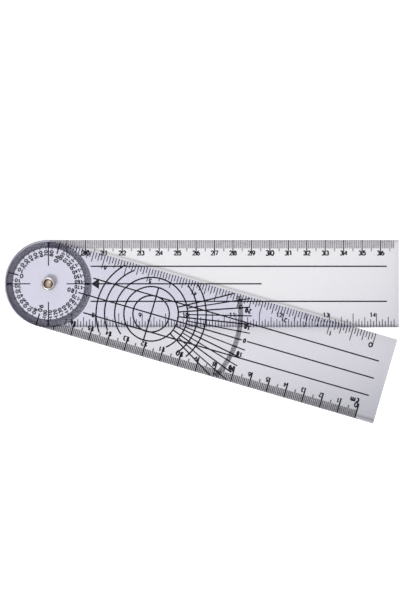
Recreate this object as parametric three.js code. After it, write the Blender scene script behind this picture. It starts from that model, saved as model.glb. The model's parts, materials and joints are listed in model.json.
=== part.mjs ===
// A two-arm goniometer: two clear printed arms that turn on one rivet.
//
// Millimetres, +Z up. The turning axis is the Z axis and the origin lies on the
// underside of the rivet's head, the lowest point. The pointer arm lies along
// +X underneath, and the dial arm is on top, opened clockwise from it.

import * as THREE from "three";

// Driving dimensions
const ARM_REACH = 190; // turning axis to an arm's square end
const ARM_WIDTH = 47.5; // the other end is a half circle of this width
const ARM_THICKNESS = 1.0;
const ARM_EDGE_ROUNDING = 0.12;
const ARM_CORNER_RADIUS = 0.5;
const OPENING_DEG = 16.18; // angle between the arms as they lie

const SHANK_RADIUS = 2.5;
const BORE_RADIUS = 2.15; // the hollow end of the shank
const BORE_DEPTH = 2.1; // rim's crest to the flat of the blind bottom
const BORE_FLAT_RADIUS = 1.45;
const BORE_CONE_RISE = 0.35; // the bottom rises from its flat to the wall
const RIM_RADIUS = 3.6; // the end rolled over the dial arm
const RIM_EDGE = 0.1; // upright edge under the rim's round back
const RIM_HEIGHT = 0.8;
const HEAD_RADIUS = 3.6;
const HEAD_THICKNESS = 0.7;
const HEAD_ROUNDING = 0.3;

const WASHER_RADIUS = 4.0;
const WASHER_THICKNESS = 0.3;
const RUNNING_GAP = 0.1; // between faces that slide on each other
const SEAT_GAP = 0.02; // between the head and the arm it is seated on
const HOLE_CLEARANCE = 0.08; // shank to the holes' walls, all round

// Heights, worked upwards from the underside of the rivet's head
const POINTER_ARM_Z = HEAD_THICKNESS + SEAT_GAP;
const WASHER_Z = POINTER_ARM_Z + ARM_THICKNESS + RUNNING_GAP;
const DIAL_ARM_Z = WASHER_Z + WASHER_THICKNESS + RUNNING_GAP;
const RIM_Z = DIAL_ARM_Z + ARM_THICKNESS + RUNNING_GAP;
const HOLE_RADIUS = SHANK_RADIUS + HOLE_CLEARANCE;

// Smoothness of round stretches
const ARM_END_STEPS = 72;
const CORNER_STEPS = 4;
const HOLE_STEPS = 48;
const ROUNDING_STEPS = 3;
const RIM_STEPS = 14;
const TURNED_STEPS = 64;

const QUARTER_TURN = Math.PI / 2;

const clearPlastic = (color, opacity) =>
  new THREE.MeshStandardMaterial({
    color,
    roughness: 0.25,
    metalness: 0,
    transparent: true,
    opacity,
  });

const platedMetal = () =>
  new THREE.MeshStandardMaterial({ color: 0xd8d4d0, roughness: 0.22, metalness: 1 });

/** Points along an arc, counter-clockwise from one angle to the other. */
function arc(centreX, centreY, radius, from, to, steps) {
  const curve = new THREE.EllipseCurve(centreX, centreY, radius, radius, from, to);
  return curve.getPoints(steps);
}

/** The outline shared by both arms: square end at +X, half-round end about the origin. */
function armOutline() {
  const half = ARM_WIDTH / 2;
  const cornerX = ARM_REACH - ARM_CORNER_RADIUS;
  const cornerY = half - ARM_CORNER_RADIUS;
  const outline = new THREE.Shape([
    ...arc(0, 0, half, QUARTER_TURN, 3 * QUARTER_TURN, ARM_END_STEPS),
    ...arc(cornerX, -cornerY, ARM_CORNER_RADIUS, -QUARTER_TURN, 0, CORNER_STEPS),
    ...arc(cornerX, cornerY, ARM_CORNER_RADIUS, 0, QUARTER_TURN, CORNER_STEPS),
  ]);
  const holePoints = arc(0, 0, HOLE_RADIUS, 0, 4 * QUARTER_TURN, HOLE_STEPS);
  outline.holes.push(new THREE.Path(holePoints));
  return outline;
}

/** A flat arm with its underside at z = 0 and its edges slightly eased. */
function arm(name, material) {
  const geometry = new THREE.ExtrudeGeometry(armOutline(), {
    depth: ARM_THICKNESS - 2 * ARM_EDGE_ROUNDING,
    bevelEnabled: true,
    bevelThickness: ARM_EDGE_ROUNDING,
    bevelSize: ARM_EDGE_ROUNDING,
    bevelOffset: -ARM_EDGE_ROUNDING,
    bevelSegments: ROUNDING_STEPS,
  });
  geometry.translate(0, 0, ARM_EDGE_ROUNDING);
  return named(name, geometry, material);
}

/** A solid turned about the Z axis from profile points of (radius, height). */
function turned(name, profile, material) {
  const geometry = new THREE.LatheGeometry(profile, TURNED_STEPS);
  geometry.rotateX(QUARTER_TURN);
  return named(name, geometry, material);
}

function named(name, geometry, material) {
  const mesh = new THREE.Mesh(geometry, material);
  mesh.name = name;
  return mesh;
}

/** The rivet: solid flat head below, blind hollow end rolled outwards on top. */
function pivotRivet() {
  const rimRound = (RIM_RADIUS - BORE_RADIUS) / 2;
  const rimBase = RIM_Z + RIM_EDGE;
  const crest = RIM_HEIGHT - RIM_EDGE;
  const rim = new THREE.EllipseCurve(BORE_RADIUS + rimRound, rimBase, rimRound, crest, 0, Math.PI);
  const flatZ = RIM_Z + RIM_HEIGHT - BORE_DEPTH;
  const roundingX = HEAD_RADIUS - HEAD_ROUNDING;
  const head = arc(roundingX, HEAD_ROUNDING, HEAD_ROUNDING, -QUARTER_TURN, 0, ROUNDING_STEPS);
  return turned(
    "pivot_rivet",
    [
      new THREE.Vector2(0, 0),
      ...head,
      new THREE.Vector2(HEAD_RADIUS, HEAD_THICKNESS),
      new THREE.Vector2(SHANK_RADIUS, HEAD_THICKNESS),
      new THREE.Vector2(SHANK_RADIUS, RIM_Z),
      new THREE.Vector2(RIM_RADIUS, RIM_Z),
      ...rim.getPoints(RIM_STEPS),
      new THREE.Vector2(BORE_RADIUS, flatZ + BORE_CONE_RISE),
      new THREE.Vector2(BORE_FLAT_RADIUS, flatZ),
      new THREE.Vector2(0, flatZ),
    ],
    platedMetal(),
  );
}

/** The thin clear disc between the arms, standing at z = 0. */
function frictionWasher() {
  const corners = [
    new THREE.Vector2(HOLE_RADIUS, 0),
    new THREE.Vector2(WASHER_RADIUS, 0),
    new THREE.Vector2(WASHER_RADIUS, WASHER_THICKNESS),
    new THREE.Vector2(HOLE_RADIUS, WASHER_THICKNESS),
  ];
  return turned("friction_washer", [...corners, corners[0]], clearPlastic(0xeeeef2, 0.5));
}

function goniometer() {
  const pointerArm = arm("pointer_arm", clearPlastic(0xe6e6ee, 0.35));
  pointerArm.position.z = POINTER_ARM_Z;

  const washer = frictionWasher();
  washer.position.z = WASHER_Z;

  const turning = new THREE.Group();
  turning.rotation.z = THREE.MathUtils.degToRad(-OPENING_DEG);
  const dialArm = arm("dial_arm", clearPlastic(0xd6d6e0, 0.4));
  dialArm.position.z = DIAL_ARM_Z;
  turning.add(dialArm);

  const whole = new THREE.Group();
  whole.add(pointerArm, washer, turning, pivotRivet());
  return whole;
}

export default goniometer();
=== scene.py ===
"""Looks for a two-arm clear plastic goniometer.

The arms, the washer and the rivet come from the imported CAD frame. This script prints the arms'
scales, dial and lines on them as thin ink solids, gives every surface its material, and sets up
the light and the camera. Blender objects are in metres. Print sizes are in millimetres, in each
arm's own reading frame: u runs along the scales, v up the page, and both are 0 on the rivet.
"""

import json
import math

import bmesh
import bpy
from mathutils import Matrix, Vector


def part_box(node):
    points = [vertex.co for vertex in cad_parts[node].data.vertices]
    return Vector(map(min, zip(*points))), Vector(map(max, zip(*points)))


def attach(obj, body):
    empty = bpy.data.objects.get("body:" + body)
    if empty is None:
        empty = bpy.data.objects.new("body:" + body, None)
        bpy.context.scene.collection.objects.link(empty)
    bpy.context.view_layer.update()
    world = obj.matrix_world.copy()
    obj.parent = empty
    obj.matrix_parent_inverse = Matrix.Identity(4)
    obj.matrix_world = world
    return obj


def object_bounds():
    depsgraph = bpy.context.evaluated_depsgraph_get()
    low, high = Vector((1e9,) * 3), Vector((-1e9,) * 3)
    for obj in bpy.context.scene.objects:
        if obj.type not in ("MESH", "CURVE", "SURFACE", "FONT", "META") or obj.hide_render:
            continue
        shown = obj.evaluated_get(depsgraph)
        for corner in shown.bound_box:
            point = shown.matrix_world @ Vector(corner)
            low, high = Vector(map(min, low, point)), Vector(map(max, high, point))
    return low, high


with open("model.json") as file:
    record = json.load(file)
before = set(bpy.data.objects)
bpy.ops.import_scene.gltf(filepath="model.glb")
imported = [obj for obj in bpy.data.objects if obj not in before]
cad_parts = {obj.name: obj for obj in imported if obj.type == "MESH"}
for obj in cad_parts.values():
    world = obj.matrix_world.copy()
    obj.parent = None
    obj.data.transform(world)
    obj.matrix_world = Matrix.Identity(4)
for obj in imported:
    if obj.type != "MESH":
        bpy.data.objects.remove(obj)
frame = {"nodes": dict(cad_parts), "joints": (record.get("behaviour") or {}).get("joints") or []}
cad_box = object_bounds()

MM = 0.001
INCH = 25.4
TURNING_AXIS = Vector(frame["joints"][0]["pos_m"])
HALF_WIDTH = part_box("pointer_arm")[1].y / MM

# ---------------------------------------------------------------- lettering


def bow(x, y, radius_x, radius_y, start, end, steps=12):
    """Points along part of an ellipse, from one angle to the other in degrees."""
    angles = [math.radians(start + (end - start) * i / steps) for i in range(steps + 1)]
    return [(x + radius_x * math.cos(a), y + radius_y * math.sin(a)) for a in angles]


SIX = [bow(0.5, 0.31, 0.48, 0.31, 0, 360, 18), bow(0.84, 0.31, 0.82, 0.69, 180, 98, 8)]
M_LEG = bow(0.26, 0.66, 0.24, 0.34, 180, 0, 8) + [(0.5, 0.0)]

# Each character as strokes in a box 1 high and 1 wide
GLYPHS = {
    "0": [bow(0.5, 0.5, 0.5, 0.5, 0, 360, 20)],
    "1": [[(0.2, 0.76), (0.62, 1.0), (0.62, 0.0)]],
    "2": [bow(0.48, 0.72, 0.46, 0.28, 165, -35) + [(0.0, 0.0), (1.0, 0.0)]],
    "3": [bow(0.46, 0.76, 0.42, 0.24, 150, -90), bow(0.46, 0.27, 0.5, 0.27, 90, -150)],
    "4": [[(0.74, 0.0), (0.74, 1.0)], [(0.7, 0.98), (0.0, 0.3), (1.0, 0.3)]],
    "5": [[(0.92, 1.0), (0.16, 1.0), (0.08, 0.53)] + bow(0.46, 0.33, 0.5, 0.33, 125, -150)],
    "6": SIX,
    "7": [[(0.0, 1.0), (0.98, 1.0), (0.38, 0.0)]],
    "8": [bow(0.5, 0.76, 0.4, 0.24, 0, 360, 16), bow(0.5, 0.27, 0.48, 0.27, 0, 360, 18)],
    "9": [[(1.0 - x, 1.0 - y) for x, y in points] for points in SIX],
    "c": [bow(0.5, 0.5, 0.5, 0.5, 48, 312, 14)],
    "m": [[(0.02, 0.0), (0.02, 1.0)], M_LEG, [(x + 0.48, y) for x, y in M_LEG]],
}
WIDE_GLYPHS = {"m": 1.5}  # how many times as wide as a digit
LONE_STEM = {"1": 1.3}  # how many times as heavy as the other characters' strokes
DIGIT_ASPECT = 0.68  # a digit's width over its height
DIGIT_GAP = 0.09  # the space between digits over their height
BOLD = 0.24  # stroke width over height


def lettering(height, width=None, aspect=DIGIT_ASPECT, spacing=DIGIT_GAP):
    """How labels are drawn. Their strokes are bold unless a width is given."""
    width = width or BOLD * height
    return {"height": height, "width": width, "aspect": aspect, "spacing": spacing}


# ---------------------------------------------------------------- ink

INK_SINK = 0.01  # how far the ink's underside sits in the plastic
MITRE_LIMIT = 0.75  # sharper corners are cut off rather than drawn to a long point
ARC_STEP = 3.0  # degrees
ON_RIVET = Vector((0.0, 0.0))


def polar(radius, degrees):
    angle = math.radians(degrees)
    return radius * math.cos(angle), radius * math.sin(angle)


def turned_left(direction):
    return Vector((-direction.y, direction.x))


class Print:
    """Ink on an arm's upper face, gathered as thin closed solids in the reading frame."""

    def __init__(self, name, film):
        self.name = name
        self.film = film
        self.mesh = bmesh.new()

    def ribbon(self, left, right, closed=False):
        """A solid between two rows of points. A closed one is joined from end to start."""
        heights = (-INK_SINK, self.film)
        low_left, top_left = [[self.mesh.verts.new((*p, z)) for p in left] for z in heights]
        low_right, top_right = [[self.mesh.verts.new((*p, z)) for p in right] for z in heights]
        count = len(left)
        make_face = self.mesh.faces.new
        for i in range(count if closed else count - 1):
            j = (i + 1) % count
            make_face((top_left[i], top_left[j], top_right[j], top_right[i]))
            make_face((low_left[i], low_right[i], low_right[j], low_left[j]))
            make_face((top_left[i], low_left[i], low_left[j], top_left[j]))
            make_face((top_right[i], top_right[j], low_right[j], low_right[i]))
        if not closed:
            for i in (0, count - 1):
                make_face((top_left[i], top_right[i], low_right[i], low_left[i]))

    def bar(self, start, end, width, end_width=None):
        """A straight line of ink, which may change width along its length."""
        a, b = Vector(start), Vector(end)
        side = turned_left(b - a).normalized() / 2
        a_side = side * width
        b_side = side * (width if end_width is None else end_width)
        self.ribbon([a + a_side, b + b_side], [a - a_side, b - b_side])

    def stroke(self, points, width):
        """A line of even width through these points. It closes on itself if they do."""
        points = [Vector(p) for p in points]
        closed = (points[0] - points[-1]).length < 1e-6
        if closed:
            points.pop()
        steps = [(b - a).normalized() for a, b in zip(points, points[1:] + points[:1])]
        arriving = [steps[-1] if closed else steps[0]] + steps[:-1]
        leaving = steps if closed else steps[:-1] + [steps[-2]]
        sides = []
        for a, b in zip(arriving, leaving):
            along = (a + b).normalized()
            mitre = max(along.dot(a), MITRE_LIMIT)
            sides.append(turned_left(along) * width / 2 / mitre)
        left = [p + side for p, side in zip(points, sides)]
        right = [p - side for p, side in zip(points, sides)]
        self.ribbon(left, right, closed)

    def spoke(self, degrees, inner, outer, width, centre=ON_RIVET):
        """A straight line away from a centre, from one distance to the other."""
        start, end = [centre + Vector(polar(distance, degrees)) for distance in (inner, outer)]
        self.bar(start, end, width)

    def arc(self, centre, radius, width, start=0.0, end=360.0):
        steps = round((end - start) / ARC_STEP)
        self.stroke(bow(*centre, radius, radius, start, end, steps), width)

    def label(self, text, centre, height, width, aspect, spacing, turn=0.0):
        """Text with its middle at centre, turned by so many degrees. The sizes are lettering's."""
        digit = aspect * height
        gap = spacing * height
        boxes = [digit * WIDE_GLYPHS.get(character, 1.0) for character in text]
        left = -(sum(boxes) + gap * (len(text) - 1)) / 2
        to_page = Matrix.Rotation(math.radians(turn), 2)
        for character, box in zip(text, boxes):
            weight = width * LONE_STEM.get(character, 1.0)
            corner = Vector((left + width / 2, (width - height) / 2))
            for points in GLYPHS[character]:
                scaled = [Vector((x * (box - width), y * (height - width))) for x, y in points]
                placed = [to_page @ (corner + point) + Vector(centre) for point in scaled]
                self.stroke(placed, weight)
            left += box + gap

    def finish(self, matrix, material, body):
        """Turns what was gathered into one piece that rides on a body."""
        bmesh.ops.recalc_face_normals(self.mesh, faces=self.mesh.faces)
        mesh = bpy.data.meshes.new(self.name)
        self.mesh.to_mesh(mesh)
        self.mesh.free()
        mesh.transform(matrix)
        mesh.materials.append(material)
        piece = bpy.data.objects.new(self.name, mesh)
        piece.visible_shadow = False  # so close to the paper, its shadow is hidden behind it
        piece.visible_diffuse = False
        bpy.context.scene.collection.objects.link(piece)
        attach(piece, body)


# ---------------------------------------------------------------- what both arms share

# How far towards the middle each graduation reaches, as |v|, by how many units it counts
CM_REACH = {1: 19.2, 5: 17.6, 10: 15.3}  # millimetres
INCH_REACH = {1: 20.2, 2: 19.2, 4: 18.0, 8: 16.0}  # sixteenths of an inch
MM_WIDTHS = {1: 0.76, 5: 0.7}
CM_NUMBER_V = 16.7
INCH_NUMBER_V = -16.9
LINE_WIDTH = 0.74

# Thickness of the ink, layer by layer
FINE_FILM = 0.02
SCALE_FILM = 0.024
LINE_FILM = 0.028
RING_FILM = 0.032
DIAL_FILM = 0.036
FAN_FILM = 0.04


def arm_heading(node):
    """The angle about Z of the arm's square end, midway between its two far corners."""
    points = [v.co.xy for v in frame["nodes"][node].data.vertices]
    reach = max(p.length for p in points)
    angles = [math.atan2(p.y, p.x) for p in points if p.length > 0.995 * reach]
    return (min(angles) + max(angles)) / 2


def reading_frame(node, turn=0.0):
    """Matrix from an arm's reading frame to the row frame, on the arm's upper face."""
    face = Vector((TURNING_AXIS.x, TURNING_AXIS.y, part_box(node)[1].z))
    rotation = Matrix.Rotation(arm_heading(node) + turn, 4, "Z")
    return Matrix.Translation(face) @ rotation @ Matrix.Scale(MM, 4)


def graduations(ink, zero, pitch, numbers, reaches, edge, widths, keep_out=0.0):
    """Graduations from one edge inwards: number n stands at zero + n * pitch.

    They stop at a circle of radius keep_out round the rivet.
    """
    for n in numbers:
        unit = max(u for u in reaches if n % u == 0)
        u = zero + n * pitch
        on_circle = math.sqrt(max(keep_out**2 - u**2, 0.0))
        inner_end = math.copysign(max(reaches[unit], on_circle), edge)
        ink.bar((u, edge), (u, inner_end), widths[unit])


def fine_graduations(ink, zero, last, edge, keep_out=0.0):
    """Millimetre graduations, without the whole centimetres."""
    millimetres = [n for n in range(last + 1) if n % 10]
    reaches = {unit: CM_REACH[unit] for unit in MM_WIDTHS}
    graduations(ink, zero, 1.0, millimetres, reaches, edge, MM_WIDTHS, keep_out)


# ---------------------------------------------------------------- pointer arm's print

POINTER_ZERO_CM = 18
POINTER_ZERO_INCH = 7
POINTER_LAST_MM = 187
POINTER_FIRST_CM_NUMBER = 2
POINTER_LAST_INCH_NUMBER = 7
POINTER_SIXTEENTHS = range(6, 119)
POINTER_CM_EDGE = HALF_WIDTH - 0.1
POINTER_INCH_EDGE = 0.3 - HALF_WIDTH
POINTER_CM_WIDTHS = {10: 0.6}
POINTER_INCH_WIDTHS = {1: 0.43, 2: 0.43, 4: 0.42, 8: 0.42}
POINTER_LINE_V = 9.5
POINTER_LINE_ENDS = (22.8, 183.4)
ARROW = {"tip": 23.2, "tip_width": 0.1, "base": 27.4, "width": 5.8, "line_end": 115.5}
CROSS_THIN = {"inner": 9.8, "outer": 19.5, "width": 0.6}
CROSS_THICK = {"inner": 19.5, "outer": 22.8, "width": 1.15}

POINTER_CM_TEXT = lettering(2.9, aspect=0.71)
POINTER_TENS_TEXT = lettering(3.3, aspect=0.71)  # 20 and 30
POINTER_INCH_TEXT = lettering(2.7, spacing=0.0)


def print_pointer_scales():
    ink = Print("pointer_arm_scales", SCALE_FILM)
    tens = range(10, POINTER_LAST_MM + 1, 10)
    tens_reach = {10: CM_REACH[10]}
    graduations(ink, 0.0, 1.0, tens, tens_reach, POINTER_CM_EDGE, POINTER_CM_WIDTHS)
    sixteenth = INCH / 16
    edge, widths = POINTER_INCH_EDGE, POINTER_INCH_WIDTHS
    graduations(ink, 0.0, sixteenth, POINTER_SIXTEENTHS, INCH_REACH, edge, widths)
    return ink


def print_pointer_millimetres():
    """The finest graduations, in thinner ink."""
    ink = Print("pointer_arm_millimetres", FINE_FILM)
    fine_graduations(ink, 0.0, POINTER_LAST_MM, POINTER_CM_EDGE)
    return ink


def print_pointer_numbers():
    """Centimetre numbers stand on their graduations, and inch numbers before theirs."""
    ink = Print("pointer_arm_numbers", SCALE_FILM)
    for n in range(POINTER_FIRST_CM_NUMBER, POINTER_LAST_MM // 10 + 1):
        value = POINTER_ZERO_CM + n
        style = POINTER_TENS_TEXT if value % 10 == 0 else POINTER_CM_TEXT
        ink.label(str(value), (n * 10.0, CM_NUMBER_V), **style)
    for n in range(1, POINTER_LAST_INCH_NUMBER + 1):
        text = str(POINTER_ZERO_INCH + n)
        beside = 0.4 + 0.8 * len(text)
        ink.label(text, (n * INCH - beside, INCH_NUMBER_V), **POINTER_INCH_TEXT)
    return ink


def print_pointer_lines():
    """Two long lines, the middle line with its arrow, and the cross behind the dial."""
    ink = Print("pointer_arm_lines", LINE_FILM)
    start, end = POINTER_LINE_ENDS
    for v in (POINTER_LINE_V, -POINTER_LINE_V):
        ink.bar((start, v), (end, v), LINE_WIDTH)
    base, tip = (ARROW["base"], 0.0), (ARROW["tip"], 0.0)
    ink.bar(base, (ARROW["line_end"], 0.0), LINE_WIDTH)
    ink.bar(base, tip, ARROW["width"], ARROW["tip_width"])
    for degrees in range(0, 360, 90):
        ink.spoke(degrees, **CROSS_THIN)
        ink.spoke(degrees, **CROSS_THICK)
    return ink


# ---------------------------------------------------------------- dial arm's print

DIAL_CM_ZERO = -179.5
DIAL_INCH_ZERO = -177.8
DIAL_LAST_MM = 180
DIAL_LAST_CM_NUMBER = 16
DIAL_LAST_SIXTEENTH = 112
DIAL_LAST_INCH_NUMBER = 6
DIAL_CM_EDGE = HALF_WIDTH - 0.3
DIAL_INCH_EDGE = 0.1 - HALF_WIDTH
DIAL_CM_WIDTHS = {10: 0.85}
DIAL_INCH_WIDTHS = dict.fromkeys(INCH_REACH, 0.48)
DIAL_LINE_V = 9.7
DIAL_LINE_ENDS = (-183.5, -22.5)
MIDDLE_LINE_BREAK = (-112.0, -109.0)  # room for the fan's 0
MIDDLE_LINE_END = -17.0
UNIT_V = 13.8

DIAL_CM_TEXT = lettering(2.8)
DIAL_TENS_TEXT = lettering(3.3)  # 0 and 10
DIAL_TENS_LOWER = 0.3
UNIT_TEXT = lettering(2.7, 0.88, aspect=0.76, spacing=0.0)
DIAL_INCH_TEXT = lettering(2.7)
DIAL_INCH_ZERO_TEXT = lettering(3.0, aspect=0.84)

# The ring's inner and outer circles: middle, which is a little off the rivet, and radius. The middles
# are off so that the ink also covers where the ring's shadow falls: painted shadow.
RING_INNER = (Vector((-0.22, -0.15)), 19.4)
RING_OUTER = (Vector((-0.46, 0.33)), 23.2)
RING_BAR_WIDTH = 0.29
SCALES_KEEP_OUT = 22.6  # the dial arm's scales end at the ring

TENS_BAR = {"inner": 18.6, "outer": 19.8, "width": 0.5}
QUARTER_BAR = {"inner": 16.8, "outer": 22.6, "width": LINE_WIDTH}  # at 0 and both 90s
ACUTE_RADIUS = 16.5
ACUTE_TEXT = lettering(2.3, 0.58, aspect=0.76, spacing=0.0)
OBTUSE_RADIUS = 16.65
OBTUSE_TEXT = lettering(2.3, 0.58, aspect=0.68, spacing=0.0)
NINETY_PLACES = ((-0.7, -14.2), (0.2, 13.8))
NINETY_TEXT = lettering(2.7, aspect=0.7)
ZERO_PLACE = (15.0, 0.0)
ZERO_TEXT = lettering(2.6, aspect=0.8)
STRAIGHT_PLACE = (-13.75, -0.1)
STRAIGHT_TEXT = lettering(2.6, aspect=0.7)

TARGET = Vector((-58.0, 0.1))  # middle of the circles and of the fan of rays
TARGET_WIDTH = 0.8
TARGET_LINE = Vector((0.0, 14.75))  # half of it
# Spans of each circle in degrees, by its radius
TARGET_ARCS = {
    9.85: [(0.0, 360.0)],
    14.75: [(0.0, 360.0)],
    19.75: [(130.0, 410.0)],
    25.2: [(138.0, 233.0), (-53.0, 37.0)],
    29.8: [(145.0, 228.0), (-46.0, 36.0)],
}

# Where each pair of rays ends, by its angle from the middle line in degrees
RAY_ENDS = {5: 54.5, 10: 53.2, 15: 54.5, 20: 53.7, 25: 54.3, 30: 46.2}
TENS_RAY = {"inner": 15.0, "width": 0.76}
FIVES_RAY = {"inner": 20.0, "width": 0.64}
FAN_BAR = {"inner": 47.1, "outer": 49.8, "width": 0.28}
FAN_HALF_DEGREES = 55  # either side of the middle line
FAN_ZERO_PLACE = (-110.6, 0.0)
FAN_ZERO_TEXT = lettering(2.6, 0.75)
FAN_NUMBERS = {"10": (-110.0, 7.6), "20": (-108.0, 16.1)}
FAN_TEXT = lettering(2.9, 0.85, aspect=0.62, spacing=0.0)


def print_dial_scales():
    ink = Print("dial_arm_scales", SCALE_FILM)
    tens = range(0, DIAL_LAST_MM + 1, 10)
    tens_reach = {10: CM_REACH[10]}
    sixteenths = range(DIAL_LAST_SIXTEENTH + 1)
    for zero, pitch, numbers, reaches, edge, widths in (
        (DIAL_CM_ZERO, 1.0, tens, tens_reach, DIAL_CM_EDGE, DIAL_CM_WIDTHS),
        (DIAL_INCH_ZERO, INCH / 16, sixteenths, INCH_REACH, DIAL_INCH_EDGE, DIAL_INCH_WIDTHS),
    ):
        graduations(ink, zero, pitch, numbers, reaches, edge, widths, SCALES_KEEP_OUT)
    return ink


def print_dial_millimetres():
    """The finest graduations, in thinner ink."""
    ink = Print("dial_arm_millimetres", FINE_FILM)
    fine_graduations(ink, DIAL_CM_ZERO, DIAL_LAST_MM, DIAL_CM_EDGE, SCALES_KEEP_OUT)
    return ink


def print_dial_scale_numbers():
    """Centimetres stand a little after their graduations, and inches from 1 on before theirs."""
    ink = Print("dial_arm_numbers", SCALE_FILM)
    for n in range(DIAL_LAST_CM_NUMBER + 1):
        style, lower = (DIAL_TENS_TEXT, DIAL_TENS_LOWER) if n % 10 == 0 else (DIAL_CM_TEXT, 0.0)
        beside = 0.4 if n >= 10 else 1.25
        ink.label(str(n), (DIAL_CM_ZERO + n * 10.0 + beside, CM_NUMBER_V - lower), **style)
    ink.label("cm", (DIAL_CM_ZERO + 2.75, UNIT_V), **UNIT_TEXT)
    ink.label("0", (DIAL_INCH_ZERO + 1.1, INCH_NUMBER_V), **DIAL_INCH_ZERO_TEXT)
    for n in range(1, DIAL_LAST_INCH_NUMBER + 1):
        ink.label(str(n), (DIAL_INCH_ZERO + n * INCH - 1.7, INCH_NUMBER_V), **DIAL_INCH_TEXT)
    return ink


def print_dial_lines():
    ink = Print("dial_arm_lines", LINE_FILM)
    start, end = DIAL_LINE_ENDS
    for v in (DIAL_LINE_V, -DIAL_LINE_V):
        ink.bar((start, v), (end, v), LINE_WIDTH)
    break_start, break_end = MIDDLE_LINE_BREAK
    ink.bar((start, 0.0), (break_start, 0.0), LINE_WIDTH)
    ink.bar((break_end, 0.0), (MIDDLE_LINE_END, 0.0), LINE_WIDTH)
    return ink


def print_dial_ring():
    """A graduation each degree, so close together that they read as a grey ring. Running between the
    two off-centre circles, they paint in the ring's shadow.
    """
    ink = Print("dial_ring", RING_FILM)
    for degrees in range(360):
        start, end = [middle + Vector(polar(r, degrees)) for middle, r in (RING_INNER, RING_OUTER)]
        ink.bar(start, end, RING_BAR_WIDTH)
    return ink


def print_dial_tens():
    """A short graduation at the ring's inner edge every ten degrees, and long ones across it."""
    ink = Print("dial_tens", DIAL_FILM)
    for degrees in range(0, 360, 10):
        ink.spoke(degrees, **(QUARTER_BAR if degrees in (0, 90, 270) else TENS_BAR))
    return ink


def print_dial_numbers():
    """0 to 180 both ways round. Numbers up to 80 read outwards, and those past 90 inwards."""
    ink = Print("dial_numbers", DIAL_FILM)
    for side in (1, -1):
        for value in range(10, 90, 10):
            degrees = side * value
            ink.label(str(value), polar(ACUTE_RADIUS, degrees), **ACUTE_TEXT, turn=degrees)
        for value in range(100, 180, 10):
            degrees = side * value
            place = polar(OBTUSE_RADIUS, degrees)
            ink.label(str(value), place, **OBTUSE_TEXT, turn=degrees + 180)
    for place in NINETY_PLACES:
        ink.label("90", place, **NINETY_TEXT, turn=90.0)
    ink.label("0", ZERO_PLACE, **ZERO_TEXT)
    ink.label("180", STRAIGHT_PLACE, **STRAIGHT_TEXT)
    return ink


def print_target():
    """Circles about 5 mm apart, from whole ones to short pieces at both sides."""
    ink = Print("dial_arm_target", DIAL_FILM)
    for radius, spans in TARGET_ARCS.items():
        for start, end in spans:
            ink.arc(TARGET, radius, TARGET_WIDTH, start, end)
    ink.bar(TARGET + TARGET_LINE, TARGET - TARGET_LINE, TARGET_WIDTH)
    return ink


def print_rays():
    """A fan of rays every 5 degrees, crossed by an arc of half-degree graduations."""
    ink = Print("dial_arm_rays", FAN_FILM)
    for degrees, end in RAY_ENDS.items():
        ray = TENS_RAY if degrees % 10 == 0 else FIVES_RAY
        for towards in (180 - degrees, 180 + degrees):
            ink.spoke(towards, outer=end, centre=TARGET, **ray)
    for half_degrees in range(-FAN_HALF_DEGREES, FAN_HALF_DEGREES + 1):
        ink.spoke(180 + half_degrees / 2, centre=TARGET, **FAN_BAR)
    ink.label("0", FAN_ZERO_PLACE, **FAN_ZERO_TEXT)
    for side in (1, -1):
        for text, (u, v) in FAN_NUMBERS.items():
            ink.label(text, (u, side * v), **FAN_TEXT)
    return ink


# ---------------------------------------------------------------- materials


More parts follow.
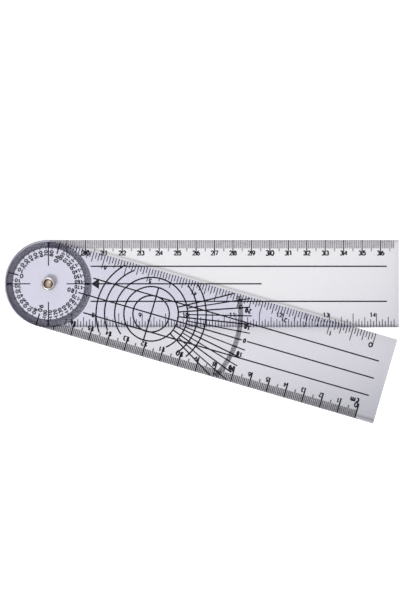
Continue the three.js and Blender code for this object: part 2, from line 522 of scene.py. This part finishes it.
class Nodes:
    """Short ways to add and join the nodes of one material or world."""

    def __init__(self, owner):
        owner.use_nodes = True
        self.owner = owner
        self.tree = owner.node_tree
        self.tree.nodes.clear()

    def add(self, kind, settings=None, **inputs):
        """A node of this kind. settings are its own properties, inputs are values or sockets."""
        node = self.tree.nodes.new(kind)
        for key, value in (settings or {}).items():
            setattr(node, key, value)
        for key, value in inputs.items():
            self.feed(node.inputs[key.replace("_", " ")], value)
        return node

    def feed(self, socket, value):
        if isinstance(value, bpy.types.NodeSocket):
            self.tree.links.new(value, socket)
        else:
            socket.default_value = value

    def maths(self, operation, a, b=0.0):
        node = self.add("ShaderNodeMath", {"operation": operation})
        self.feed(node.inputs[0], a)
        self.feed(node.inputs[1], b)
        return node.outputs[0]

    def dot(self, a, b):
        node = self.add("ShaderNodeVectorMath", {"operation": "DOT_PRODUCT"})
        self.feed(node.inputs[0], a)
        self.feed(node.inputs[1], b)
        return node.outputs["Value"]

    def remap(self, value, low, high, to_low, to_high):
        """value from low..high to to_low..to_high, clamped."""
        node = self.add("ShaderNodeMapRange")
        for index, number in enumerate((value, low, high, to_low, to_high)):
            self.feed(node.inputs[index], number)
        return node.outputs[0]

    def mix_colour(self, factor, a, b):
        node = self.add("ShaderNodeMix", {"data_type": "RGBA"})
        for index, value in ((0, factor), (6, a), (7, b)):
            self.feed(node.inputs[index], value)
        return node.outputs[2]

    def mix_shader(self, factor, a, b):
        node = self.add("ShaderNodeMixShader", Fac=factor)
        self.feed(node.inputs[1], a)
        self.feed(node.inputs[2], b)
        return node.outputs[0]

    def place(self, kind="Object"):
        return self.add("ShaderNodeTexCoord").outputs[kind]

    def noise(self, scale, detail=3.0, roughness=0.5, stretch=None):
        """Noise over the piece, with scale in cells per metre. stretch is (scale, rotation)."""
        place = self.place()
        if stretch:
            mapping = self.add("ShaderNodeMapping", Vector=place, Scale=stretch[0], Rotation=stretch[1])
            place = mapping.outputs[0]
        node = self.add(
            "ShaderNodeTexNoise", Vector=place, Scale=scale, Detail=detail, Roughness=roughness
        )
        return node.outputs["Fac"]

    def relief(self, height, distance, strength=1.0):
        node = self.add("ShaderNodeBump", Height=height, Distance=distance, Strength=strength)
        return node.outputs[0]

    def ray(self, question):
        return self.add("ShaderNodeLightPath").outputs[question]

    def surface(self, shader):
        world = isinstance(self.owner, bpy.types.World)
        output = self.add("ShaderNodeOutputWorld" if world else "ShaderNodeOutputMaterial")
        self.feed(output.inputs["Surface"], shader)
        return self.owner


def material_nodes(name):
    return Nodes(bpy.data.materials.new(name))


def colour(red, green, blue):
    return red, green, blue, 1.0


def grey(value):
    return colour(value, value, value)


FADE_TURN = math.radians(-60)  # painted shade: the sheets' tint darkens towards one corner of their square ends, as light falls off there
FADE_CURVE = 1.6
FADE = (60.0, 125.0)  # millimetres from the rivet
EDGE_STRIP = (1.4, 0.3)  # millimetres from an arm's edge, where it starts to throw a shadow


def edge_strip(n, heading):
    """1 along an arm's long edges and round end, 0 further in."""
    along = n.dot(n.place(), Vector((math.cos(heading), math.sin(heading), 0.0)) / MM)
    across = n.dot(n.place(), Vector((-math.sin(heading), math.cos(heading), 0.0)) / MM)
    behind = n.maths("MINIMUM", along, 0.0)
    squares = n.maths("ADD", n.maths("MULTIPLY", across, across), n.maths("MULTIPLY", behind, behind))
    start, full = [HALF_WIDTH - inset for inset in EDGE_STRIP]
    return n.remap(n.maths("SQRT", squares), start, full, 0.0, 1.0)


# Light that gets through a whole sheet, near the rivet and at the far corner, by colour. The darker far
# colour is painted shade, for light that falls off towards the far corner.
POINTER_TINTS_AND_SHADE = (0.95, 0.95, 0.99), (0.72, 0.715, 0.81)
DIAL_TINTS_AND_SHADE = (0.8, 0.795, 0.87), (0.44, 0.445, 0.51)
WASHER_TINTS = (0.97, 0.97, 0.98), (0.97, 0.97, 0.98)

FACE_HAZE = 0.004
SCRATCH_HAZE = 0.02
MOTTLE = 0.02
SCRATCH_STRETCH = (1.0, 30.0, 1.0)
SCRATCH_HEADING = 0.35  # radians
PLASTIC_IOR = 1.45
FACE_ON_FRESNEL = 0.034  # what this index reflects straight on
SHINE = (0.004, 0.85)  # mirrored share straight on and at a grazing angle
LIGHT_THROUGH_FACE = 0.99
LIGHT_THROUGH_EDGE = 0.56


def clear_sheet(name, tints, heading=0.0, wall_haze=0.35, wall_light=0.1):
    """Clear sheet: the camera sees tint, faint haze and shine, and light passes through.

    The tint goes from the first to the second between the FADE distances, which paints shade
    for light falling off towards one corner of the square end. The side walls are hazier, and let
    less light by.
    """
    n = material_nodes(name)
    # Painted shade: the tint darkens along this direction, for light falling off across the sheet.
    shade_direction = Vector((math.cos(heading + FADE_TURN), math.sin(heading + FADE_TURN), 0.0))
    painted_shade = n.remap(n.dot(n.place(), shade_direction / MM), *FADE, 0.0, 1.0)
    painted_shade = n.maths("POWER", painted_shade, FADE_CURVE)
    # Light passes two faces of a sheet, so each face takes the square root of the whole tint
    near, far = [colour(*(math.sqrt(part) for part in whole)) for whole in tints]
    tint = n.mix_colour(painted_shade, near, far)
    mottle = n.remap(n.noise(45.0, detail=3.0), 0.3, 0.7, 0.0, 1.0)
    tint = n.mix_colour(n.maths("MULTIPLY", mottle, MOTTLE), tint, grey(0.5))

    lengthened = (SCRATCH_STRETCH, (0.0, 0.0, SCRATCH_HEADING))
    scratches = n.noise(60.0, detail=6.0, roughness=0.75, stretch=lengthened)
    scratches = n.remap(scratches, 0.62, 0.7, 0.0, 1.0)
    upright = n.add("ShaderNodeSeparateXYZ", Vector=n.place("Normal")).outputs["Z"]
    side_wall = n.remap(n.maths("ABSOLUTE", upright), 0.2, 0.95, 1.0, 0.0)
    scratched = n.maths("MULTIPLY", scratches, SCRATCH_HAZE)
    haze = n.maths("ADD", scratched, n.maths("MULTIPLY", side_wall, wall_haze))
    haze = n.maths("ADD", haze, FACE_HAZE)

    roughness = n.remap(n.noise(130.0, detail=4.0, roughness=0.6), 0.35, 0.75, 0.08, 0.2)
    ripple = n.relief(n.noise(25.0, detail=1.0), 0.00006, 0.6)
    normal = n.add("ShaderNodeBump", Height=scratches, Distance=0.000004, Normal=ripple).outputs[0]

    through = n.add("ShaderNodeBsdfTransparent", Color=tint)
    cloudy = n.add(
        "ShaderNodeBsdfPrincipled",
        Base_Color=colour(0.74, 0.74, 0.8),
        Roughness=roughness,
        Normal=normal,
    )
    body = n.mix_shader(haze, through.outputs[0], cloudy.outputs[0])
    shine = n.add("ShaderNodeBsdfAnisotropic", Color=grey(1.0), Roughness=roughness, Normal=normal)
    fresnel = n.add("ShaderNodeFresnel", IOR=PLASTIC_IOR, Normal=normal).outputs[0]
    outside = n.maths("SUBTRACT", 1.0, n.add("ShaderNodeNewGeometry").outputs["Backfacing"])
    mirrored = n.maths("MULTIPLY", n.remap(fresnel, FACE_ON_FRESNEL, 1.0, *SHINE), outside)
    seen = n.mix_shader(mirrored, body, shine.outputs[0])

    strip = edge_strip(n, heading)
    passing = n.mix_colour(strip, grey(LIGHT_THROUGH_FACE), grey(LIGHT_THROUGH_EDGE))
    passing = n.mix_colour(side_wall, passing, grey(wall_light))
    lit = n.add("ShaderNodeBsdfTransparent", Color=passing)
    return n.surface(n.mix_shader(n.ray("Is Camera Ray"), lit.outputs[0], seen))


def printing_ink(name, shade):
    """Screen-printed ink: near black, uneven in density and sheen."""
    n = material_nodes(name)
    density = n.remap(n.noise(900.0, detail=5.0, roughness=0.65), 0.35, 0.7, 0.6, 1.5)
    grain = n.noise(6000.0, detail=2.0)
    film = n.add(
        "ShaderNodeBsdfPrincipled",
        Base_Color=n.mix_colour(density, grey(0.0), shade),
        Roughness=n.remap(grain, 0.3, 0.7, 0.42, 0.62),
        Specular_IOR_Level=0.16,
        Normal=n.relief(grain, 0.000004),
    )
    return n.surface(film.outputs[0])


BORE_RADIUS = 2.15  # millimetres, of the rivet's hollow end
NICKEL = colour(0.9, 0.84, 0.83)
DULL_NICKEL = colour(0.6, 0.55, 0.52)
BRASS = colour(0.66, 0.53, 0.42)
DULL_BRASS = colour(0.45, 0.34, 0.25)
# Painted reflection: the dark that the lip's inner slope would mirror
LIP_DARK_REFLECTION = colour(0.16, 0.12, 0.09)


def plated_metal(name):
    """Bright nickel, brushed round by the setting tool. Brass shows inside the hollow end, and a
    painted dark reflection rings the lip round it.
    """
    n = material_nodes(name)
    parts = n.add("ShaderNodeSeparateXYZ", Vector=n.place())
    flat = n.add("ShaderNodeCombineXYZ", X=parts.outputs["X"], Y=parts.outputs["Y"])
    length = n.add("ShaderNodeVectorMath", {"operation": "LENGTH"}, Vector=flat.outputs[0])
    radius = n.maths("DIVIDE", length.outputs["Value"], MM)
    bottom, top = [corner.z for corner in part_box("pivot_rivet")]
    height = n.remap(parts.outputs["Z"], bottom, top, 0.0, 1.0)
    upper = n.maths("GREATER_THAN", height, 0.3)
    hollow = n.maths("MULTIPLY", upper, n.remap(radius, BORE_RADIUS - 0.1, BORE_RADIUS + 0.3, 1.0, 0.0))
    # Painted reflection: a dark ring on the lip just round the hollow's mouth.
    off_lip = n.maths("ABSOLUTE", n.maths("SUBTRACT", radius, BORE_RADIUS + 0.1))
    lip_reflection = n.maths("MULTIPLY", upper, n.remap(off_lip, 0.1, 0.5, 0.7, 0.0))

    tarnish = n.remap(n.noise(700.0, detail=4.0), 0.35, 0.7, 0.0, 0.35)
    nickel = n.mix_colour(tarnish, NICKEL, DULL_NICKEL)
    brass = n.mix_colour(tarnish, BRASS, DULL_BRASS)
    base = n.mix_colour(lip_reflection, n.mix_colour(hollow, nickel, brass), LIP_DARK_REFLECTION)

    turning = n.maths("SINE", n.maths("MULTIPLY", radius, 40.0))
    brushed = n.maths("ADD", turning, n.remap(n.noise(2500.0, detail=4.0), 0.3, 0.7, -1.0, 1.0))
    polish = n.remap(brushed, -2.0, 2.0, 0.14, 0.24)
    metal = n.add(
        "ShaderNodeBsdfPrincipled",
        Base_Color=base,
        Roughness=n.maths("ADD", polish, n.maths("MULTIPLY", hollow, 0.25)),
        Metallic=1.0,
        Normal=n.relief(brushed, 0.0000015, 0.5),
    )
    return n.surface(metal.outputs[0])


# ---------------------------------------------------------------- dressing

SMOOTH_BELOW = math.radians(35)


def dress(node, material):
    """Gives a CAD node its material, and smooth shading between its shallow facets."""
    piece = frame["nodes"][node]
    piece.data.materials.clear()
    piece.data.materials.append(material)
    for face in piece.data.polygons:
        face.use_smooth = True
    weld = piece.modifiers.new("weld", "WELD")
    weld.merge_threshold = 0.001 * MM
    split = piece.modifiers.new("sharp_edges", "EDGE_SPLIT")
    split.split_angle = SMOOTH_BELOW


POINTER_INK = colour(0.015, 0.015, 0.02)
POINTER_THIN_INK = colour(0.38, 0.36, 0.4)
DIAL_INK = colour(0.012, 0.012, 0.016)
DIAL_THIN_INK = colour(0.14, 0.14, 0.15)
RING_INK = colour(0.012, 0.012, 0.03)


def print_arms():
    pointer = reading_frame("pointer_arm")
    dial = reading_frame("dial_arm", math.pi)  # it is read from the other side
    pointer_ink = printing_ink("pointer_ink", POINTER_INK)
    dial_ink = printing_ink("dial_ink", DIAL_INK)
    pointer_thin_ink = printing_ink("thin_ink", POINTER_THIN_INK)
    dial_thin_ink = printing_ink("dial_thin_ink", DIAL_THIN_INK)
    print_pointer_millimetres().finish(pointer, pointer_thin_ink, "pointer")
    print_dial_millimetres().finish(dial, dial_thin_ink, "dial")
    print_dial_ring().finish(dial, printing_ink("ring_ink", RING_INK), "dial")
    for draw in (print_pointer_scales, print_pointer_numbers, print_pointer_lines):
        draw().finish(pointer, pointer_ink, "pointer")
    for draw in (
        print_dial_scales,
        print_dial_scale_numbers,
        print_dial_lines,
        print_dial_tens,
        print_dial_numbers,
        print_target,
        print_rays,
    ):
        draw().finish(dial, dial_ink, "dial")


def dress_arms_and_rivet():
    pointer_heading, dial_heading = arm_heading("pointer_arm"), arm_heading("dial_arm")
    dress("pointer_arm", clear_sheet("pointer_plastic", POINTER_TINTS_AND_SHADE, pointer_heading))
    dress("dial_arm", clear_sheet("dial_plastic", DIAL_TINTS_AND_SHADE, dial_heading))
    washer = clear_sheet("washer_plastic", WASHER_TINTS, wall_haze=0.05, wall_light=0.9)
    dress("friction_washer", washer)
    dress("pivot_rivet", plated_metal("rivet_metal"))
    frame["nodes"]["pivot_rivet"].visible_diffuse = False  # it shades the paper from the key alone


# ---------------------------------------------------------------- stage

FLOOR_SIZE = 6.0
FLOOR_GAP = 0.00002
PAPER = grey(0.9)
# Painted shade: paper seen through both sheets is painted a little bluer.
PAPER_SHADE_UNDER_TWO_SHEETS = colour(0.9, 0.9, 0.94)
# Painted light: the paper glows only where nothing lies over it, so it burns out and the shadows on it
# vanish.
PAPER_GLOW = 0.6


def floor_paper(name):
    """White paper, burnt out by a painted glow where it is seen directly. Seen through a clear sheet it
    has no glow, which paints shade under the sheets, and under two sheets it is painted bluer.
    """
    n = material_nodes(name)
    sheet_faces = n.ray("Transparent Depth")
    bare = n.maths("LESS_THAN", sheet_faces, 0.5)
    doubled = n.maths("GREATER_THAN", sheet_faces, 3.5)
    grain = n.remap(n.noise(400.0), 0.3, 0.7, 0.985, 1.0)
    shade = n.mix_colour(doubled, PAPER, PAPER_SHADE_UNDER_TWO_SHEETS)
    shade = n.mix_colour(grain, grey(0.0), shade)
    body = n.add("ShaderNodeBsdfDiffuse", Color=shade)
    strength = n.maths("MULTIPLY", bare, PAPER_GLOW)
    glow = n.add("ShaderNodeEmission", Color=grey(1.0), Strength=strength)
    whole = n.add("ShaderNodeAddShader")
    n.feed(whole.inputs[0], body.outputs[0])
    n.feed(whole.inputs[1], glow.outputs[0])
    return n.surface(whole.outputs[0])


def build_floor():
    low, high = cad_box
    mesh = bpy.data.meshes.new("floor")
    floor = bmesh.new()
    bmesh.ops.create_grid(floor, x_segments=1, y_segments=1, size=FLOOR_SIZE / 2)
    floor.to_mesh(mesh)
    floor.free()
    mesh.materials.append(floor_paper("floor_paper"))
    piece = bpy.data.objects.new("floor", mesh)
    piece.location = ((low[0] + high[0]) / 2, (low[1] + high[1]) / 2, low[2] - FLOOR_GAP)
    bpy.context.scene.collection.objects.link(piece)


KEY_TOWARDS = Vector((-0.32, -0.42, 0.9))  # from the rivet to the key light
KEY_DISTANCE = 1.2
KEY_SIZE = 0.45
KEY_POWER = 9.0
KEY_COLOUR = (1.0, 0.985, 0.97)
AMBIENT = 0.55
BACKDROP = 1.1

# In which directions polished faces see a dark side or the black strip
SIDEWAYS = Vector((1.0, 0.1, 0.0))
STRIP_FORWARD = Vector((0.33, -0.94, 0.0))
STRIP_ACROSS = Vector((0.94, 0.33, 0.0))


def studio_world():
    """Soft light all round. Polished faces see a bright ceiling, dark sides and a black strip."""
    n = Nodes(bpy.data.worlds.new("studio"))
    towards = n.place("Generated")
    ceiling = n.remap(n.dot(towards, Vector((0.0, 0.0, 1.0))), 0.2, 0.9, 0.85, 1.0)
    lamp = n.remap(n.dot(towards, KEY_TOWARDS.normalized()), 0.965, 0.985, 0.0, 3.0)
    sideways = n.maths("ABSOLUTE", n.dot(towards, SIDEWAYS))
    side_flags = n.remap(sideways, 0.22, 0.5, 1.0, 0.12)
    forward = n.dot(towards, STRIP_FORWARD)
    off_strip = n.maths("ABSOLUTE", n.dot(towards, STRIP_ACROSS))
    within_strip = n.maths("SUBTRACT", forward, n.maths("MULTIPLY", off_strip, 2.0))
    front_strip = n.remap(within_strip, 0.1, 0.2, 1.0, 0.02)
    dimmed = n.maths("MULTIPLY", ceiling, n.maths("MINIMUM", side_flags, front_strip))
    room = n.add("ShaderNodeBackground", Color=grey(1.0), Strength=n.maths("ADD", dimmed, lamp))
    ambient = n.add("ShaderNodeBackground", Color=grey(1.0), Strength=AMBIENT)
    backdrop = n.add("ShaderNodeBackground", Color=grey(1.0), Strength=BACKDROP)
    lit = n.mix_shader(n.ray("Is Glossy Ray"), ambient.outputs[0], room.outputs[0])
    return n.surface(n.mix_shader(n.ray("Is Camera Ray"), lit, backdrop.outputs[0]))


def key_light():
    light = bpy.data.lights.new("key", "AREA")
    light.shape = "DISK"
    light.size = KEY_SIZE
    light.energy = KEY_POWER
    light.color = KEY_COLOUR
    holder = bpy.data.objects.new("key", light)
    holder.location = TURNING_AXIS + KEY_TOWARDS.normalized() * KEY_DISTANCE
    holder.rotation_euler = KEY_TOWARDS.to_track_quat("Z", "Y").to_euler()
    holder.visible_glossy = False  # the world holds its softer reflection
    bpy.context.scene.collection.objects.link(holder)


PICTURE_WIDTH, PICTURE_HEIGHT = 401, 601
VIEW_MIDDLE = Vector((82.4, -9.05))  # from the turning axis, millimetres
VIEW_WIDTH = 217.1  # at the arms
LENS = 100.0
SENSOR = 36.0  # along the picture's longer side


def place_camera():
    """Straight above the arms, through a long lens."""
    camera = bpy.data.cameras.new("camera")
    camera.lens = LENS
    camera.sensor_width = SENSOR
    camera.clip_start = 0.01
    camera.clip_end = 20.0
    holder = bpy.data.objects.new("camera", camera)
    view_height = VIEW_WIDTH * PICTURE_HEIGHT / PICTURE_WIDTH
    distance = view_height * LENS / SENSOR
    holder.location = TURNING_AXIS + Vector((*VIEW_MIDDLE, distance)) * MM
    bpy.context.scene.collection.objects.link(holder)
    bpy.context.scene.camera = holder


CLEAR_FACES = 24  # light goes through this many, down to the paper and up again


def set_stage():
    build_floor()
    bpy.context.scene.world = studio_world()
    key_light()
    place_camera()
    bpy.context.scene.view_settings.view_transform = "Standard"
    bpy.context.scene.cycles.transparent_max_bounces = CLEAR_FACES


print_arms()
dress_arms_and_rivet()
set_stage()
